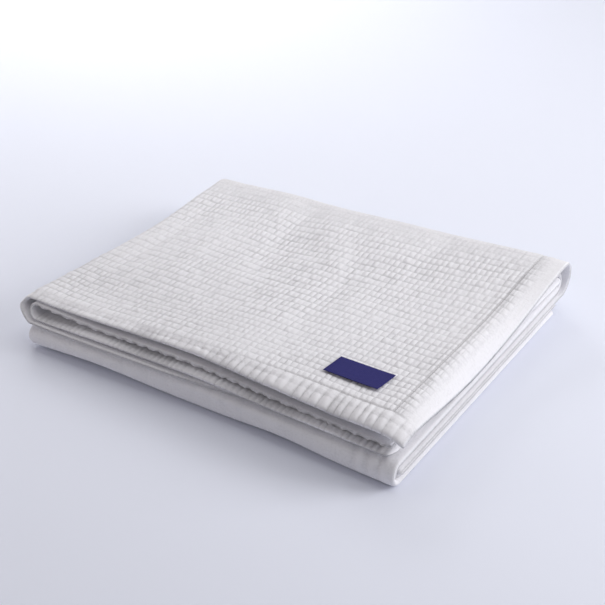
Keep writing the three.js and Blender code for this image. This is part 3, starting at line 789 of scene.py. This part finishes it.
# Finishes: a Principled shader and the nodes that feed it
class Finish:
    def __init__(self, name, **constants):
        self.material = bpy.data.materials.new(name)
        self.material.use_nodes = True
        self.tree = self.material.node_tree
        self.shader = self.tree.nodes["Principled BSDF"]
        for key, value in constants.items():
            self.shader.inputs[key.replace("_", " ")].default_value = value

    def node(self, kind, settings, output, **sockets):
        return NodeValue(self.tree, addNode(self.tree, kind, settings, **sockets)[output])

    def uv(self):
        return self.node("ShaderNodeUVMap", {"uv_map": "cloth"}, "UV")

    def split(self, vector):
        parts = addNode(self.tree, "ShaderNodeSeparateXYZ", {}, Vector=vector)
        return NodeValue(self.tree, parts["X"]), NodeValue(self.tree, parts["Y"])

    def mixColour(self, share, first, second):  # the third output is the colour
        ends = {"A": (*first, 1), "B": (*second, 1)}
        return self.node("ShaderNodeMix", {"data_type": "RGBA"}, 2, Factor=share, **ends)

    def noise(self, place, scale, detail):
        return self.node("ShaderNodeTexNoise", {}, "Fac", Vector=place, Scale=scale, Detail=detail)

    def feed(self, key, value):
        self.tree.links.new(value.socket, self.shader.inputs[key])

    def bump(self, height, strength, depth):
        normal = self.node("ShaderNodeBump", {}, "Normal", Strength=strength, Distance=depth, Height=height)
        self.feed("Normal", normal)


# light is the cotton's own colour; the darker colour is painted shade, mixed in where the relief sinks
cotton = {
    "light": (0.815, 0.813, 0.845), "grooveShade": (0.565, 0.563, 0.588), "roughness": 0.95,
    "thread": 0.0009, "rowPitch": 0.0102, "cellPitch": 0.0062,
    "shadeContrast": 1.4, "cloudScale": 55.0, "cloud": 0.4, "mottleScale": 430.0, "mottle": 0.9,
    "slubScale": 900.0, "crinkleScale": 260.0, "pleatScale": (260.0, 14.0, 1.0),
    "fineBump": 0.06, "slubBump": 0.15, "crinkleBump": 0.6,
    "rowBump": 0.15, "tickBump": 0.25, "pleatBump": 1.5, "bump": 0.5, "bumpDepth": 0.0009,
}


def cottonFinish():
    finish = Finish("cottonWeave", Roughness=cotton["roughness"], Specular_IOR_Level=0.15,
                    Sheen_Weight=0.1, Sheen_Roughness=0.6)
    uv = finish.uv()
    u, v = finish.split(uv)
    relief = finish.node("ShaderNodeAttribute", {"attribute_name": "relief"}, "Fac")
    plain = finish.node("ShaderNodeAttribute", {"attribute_name": "plain"}, "Fac")
    cloud = finish.noise(uv, cotton["cloudScale"], 3.0)
    mottle = finish.noise(uv, cotton["mottleScale"], 2.0)
    uneven = (cloud - 0.5) * cotton["cloud"] + (mottle - 0.5) * cotton["mottle"]
    # painted shade: the base colour darkens towards the painted shade colour in the hollows of the relief,
    # fully on most of the woven face and in part where plain is below 1; cloud and mottle are the cotton's
    # own uneven colour
    raised = (relief * cotton["shadeContrast"] * (1 - plain) + plain + uneven).limited()
    finish.feed("Base Color", finish.mixColour(raised, cotton["grooveShade"], cotton["light"]))
    fine = u.wave(cotton["thread"]) * v.wave(cotton["thread"] * 1.3)
    slub = finish.noise(uv, cotton["slubScale"], 2.0)
    rows = (v * 0.5).wave(cotton["rowPitch"]).size() ** 0.5
    ticks = (u * 0.5).wave(cotton["cellPitch"]).size() ** 0.5
    along = finish.node("ShaderNodeMapping", {}, "Vector", Vector=uv, Scale=cotton["pleatScale"])
    pleat = finish.noise(along, 1.0, 2.0)
    quilted = rows * cotton["rowBump"] + ticks * cotton["tickBump"] + pleat * cotton["pleatBump"]
    crinkle = finish.noise(uv, cotton["crinkleScale"], 4.0)
    height = fine * cotton["fineBump"] + slub * cotton["slubBump"] + crinkle * cotton["crinkleBump"]
    finish.bump(height + quilted * plain, cotton["bump"], cotton["bumpDepth"])
    return finish.material


navy = {
    "light": (0.043, 0.042, 0.19), "dark": (0.026, 0.025, 0.125), "roughness": 0.7,
    "thread": 0.0007, "ribTone": 0.25, "middleTone": 0.3, "cloudScale": 300.0, "cloud": 0.5,
    "bump": 0.3, "bumpDepth": 0.0003,
}


def labelFinish():
    finish = Finish("labelNavy", Roughness=navy["roughness"], Specular_IOR_Level=0.12)
    uv = finish.uv()
    u, v = finish.split(uv)
    ribs = v.wave(navy["thread"])
    cross = u.wave(navy["thread"] * 1.6)
    cloud = finish.noise(uv, navy["cloudScale"], 2.0)
    share = (ribs * navy["ribTone"] + navy["middleTone"] + cloud * navy["cloud"]).limited()
    finish.feed("Base Color", finish.mixColour(share, navy["dark"], navy["light"]))
    finish.bump(ribs + cross * 0.5, navy["bump"], navy["bumpDepth"])
    return finish.material


threads = {
    "white": ((0.86, 0.85, 0.86), (0.66, 0.65, 0.66)), "navy": ((0.05, 0.05, 0.2), (0.02, 0.02, 0.09)),
    "roughness": 0.8, "twistScale": 1800.0, "bump": 0.4, "bumpDepth": 0.0002,
}


def threadFinish(name, colour):
    light, dark = threads[colour]
    finish = Finish(name, Roughness=threads["roughness"], Specular_IOR_Level=0.2)
    place = finish.node("ShaderNodeTexCoord", {}, "Object")
    twist = finish.noise(place, threads["twistScale"], 2.0)
    finish.feed("Base Color", finish.mixColour(twist.limited(), dark, light))
    finish.bump(twist, threads["bump"], threads["bumpDepth"])
    return finish.material


cloth = buildBlanket()
cloth.data.materials.append(cottonFinish())
label = buildLabel()
label.data.materials.append(labelFinish())
stitchTree, stitchSlots = stitchNodes()
whiteThread = threadFinish("threadWhite", "white")
navyThread = threadFinish("threadNavy", "navy")
clothStitches = buildStitches("clothStitches", clothSeams(), whiteThread, stitchTree, stitchSlots)
labelStitches = buildStitches("labelStitches", labelSeams(), navyThread, stitchTree, stitchSlots)

# Floor, light and camera
stage = {
    "floor": (0.80, 0.83, 0.93), "floorHalf": 6, "floorDrop": 0.0005,
    "sky": (1.0, 0.96, 0.98), "skyStrength": 0.25,
}
half, drop = stage["floorHalf"], -stage["floorDrop"]
floorCorners = [(-half, -half, drop), (half, -half, drop), (half, half, drop), (-half, half, drop)]
floorMesh = bpy.data.meshes.new("studioFloor")
floorMesh.from_pydata(floorCorners, [], [(0, 1, 2, 3)])
floor = bpy.data.objects.new("studioFloor", floorMesh)
scene.collection.objects.link(floor)
floorFinish = Finish("paleFloor", Base_Color=(*stage["floor"], 1), Roughness=0.8)
floorMesh.materials.append(floorFinish.material)

world = bpy.data.worlds.new("studioSky")
scene.world = world
world.use_nodes = True
background = world.node_tree.nodes["Background"]
background.inputs["Color"].default_value = (*stage["sky"], 1)
background.inputs["Strength"].default_value = stage["skyStrength"]

# soft lamps: place, target, width, height, power, colour, spread in degrees
lamps = {
    "keyRight": ((1.55, 0.85, 0.85), (0.2, 0.15, 0), 1.0, 1.0, 24, (1, 0.99, 1), 180),
    "overhead": ((-0.1, 0.6, 2.1), (-0.1, 0.4, 0), 2.2, 2.0, 17, (1, 1, 1), 180),
    "leftWash": ((-1.2, 1.1, 0.9), (-0.72, 0.6, 0), 0.9, 0.7, 2.9, (1, 1, 1), 70),
    "lowRight": ((1.3, -0.1, 0.4), (0.2, 0.0, 0.03), 0.9, 0.5, 1, (1, 1, 1), 180),
    "leftFill": ((-0.95, -0.6, 0.4), (-0.15, -0.15, 0.03), 0.6, 0.4, 1.4, (1, 0.92, 0.9), 180),
}


def areaLight(name, place, target, width, height, power, colour, spread):
    data = bpy.data.lights.new(name, "AREA")
    data.shape, data.size, data.size_y = "RECTANGLE", width, height
    data.energy, data.color, data.spread = power, colour, math.radians(spread)
    lamp = bpy.data.objects.new(name, data)
    lamp.location = place
    lamp.rotation_euler = (Vector(target) - Vector(place)).to_track_quat("-Z", "Y").to_euler()
    scene.collection.objects.link(lamp)


for name, values in lamps.items():
    areaLight(name, *values)
print("stage lit")

shot = {
    "azimuth": 32.34, "elevation": 33.9, "distance": 1.692, "target": (0.0078, -0.0022, 0.030),
    "lens": 1700 / 605 * 36, "sensor": 36,
}
cameraData = bpy.data.cameras.new("shotCamera")
cameraData.sensor_width = shot["sensor"]
cameraData.lens = shot["lens"]
camera = bpy.data.objects.new("shotCamera", cameraData)
azimuth, elevation = math.radians(shot["azimuth"]), math.radians(shot["elevation"])
reach = math.cos(elevation)
back = Vector((math.sin(azimuth) * reach, -math.cos(azimuth) * reach, math.sin(elevation)))
camera.location = Vector(shot["target"]) + back * shot["distance"]
camera.rotation_euler = (-back).to_track_quat("-Z", "Y").to_euler()
scene.collection.objects.link(camera)
scene.camera = camera
scene.view_settings.view_transform = "Standard"

for piece, node, slot in ((cloth, "blanket", "cotton"), (label, "label", "label_weave"),
                          (clothStitches, None, "cotton"), (labelStitches, None, "label_weave")):
    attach(piece, "root")
    if node:
        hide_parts(node)
